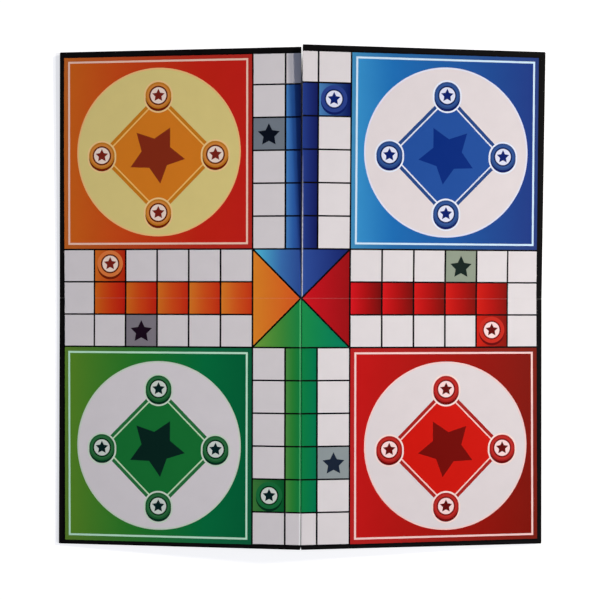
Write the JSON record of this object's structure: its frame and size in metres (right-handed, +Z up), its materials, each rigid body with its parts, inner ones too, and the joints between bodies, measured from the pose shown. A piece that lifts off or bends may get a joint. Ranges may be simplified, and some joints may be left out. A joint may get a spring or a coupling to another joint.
{
  "type": "folding ludo board",
  "caption": "Quad-fold ludo board of wrapped greyboard panels with a printed front, hinged in its paper along three creases and slit along the fourth.",
  "frame": {"origin": "below the middle of the opened board, at the level of the table that it stands on", "axes": "+Z up out of the printed face, +Y towards the slit side of the board, +X to the right as the print is read"},
  "size_m": [0.3914, 0.3968, 0.0249],
  "materials": {
    "grey_card": "raw recycled greyboard, cut edges",
    "black_paper": "matt black covering paper",
    "orange_print": "offset print on coated paper, satin",
    "blue_print": "offset print on coated paper, satin",
    "green_print": "offset print on coated paper, satin",
    "red_print": "offset print on coated paper, satin"
  },
  "bodies": {
    "lower_left": {"greyboard_lower_left": "grey_card", "wrap_lower_left": "black_paper", "label_lower_left": "green_print", "label_hinge_left": "green_print", "wrap_hinge_lower": "black_paper"},
    "lower_right": {"greyboard_lower_right": "grey_card", "wrap_lower_right": "black_paper", "label_lower_right": "red_print", "label_hinge_right": "red_print"},
    "upper_left": {"greyboard_upper_left": "grey_card", "wrap_upper_left": "black_paper", "label_upper_left": "orange_print"},
    "upper_right": {"greyboard_upper_right": "grey_card", "wrap_upper_right": "black_paper", "label_upper_right": "blue_print"}
  },
  "joints": [
    {"name": "fold_lower", "type": "hinge", "parent": "lower_left", "child": "lower_right", "pos_m": [-0.00023, 0, 0.01522], "axis": [0, 1, 0], "range_deg": [-9, 170], "deforming": ["wrap_hinge_lower"]},
    {"name": "fold_left", "type": "hinge", "parent": "lower_left", "child": "upper_left", "pos_m": [-0.00044, 0, 0.01791], "axis": [0.9969, 0, 0.0785], "range_deg": [-0.4, 178.6], "deforming": ["label_hinge_left"]},
    {"name": "fold_right", "type": "hinge", "parent": "lower_right", "child": "upper_right", "pos_m": [-0.00002, 0, 0.01791], "axis": [0.9969, 0, -0.0785], "range_deg": [-2.1, 176.9], "deforming": ["label_hinge_right"]}
  ]
}
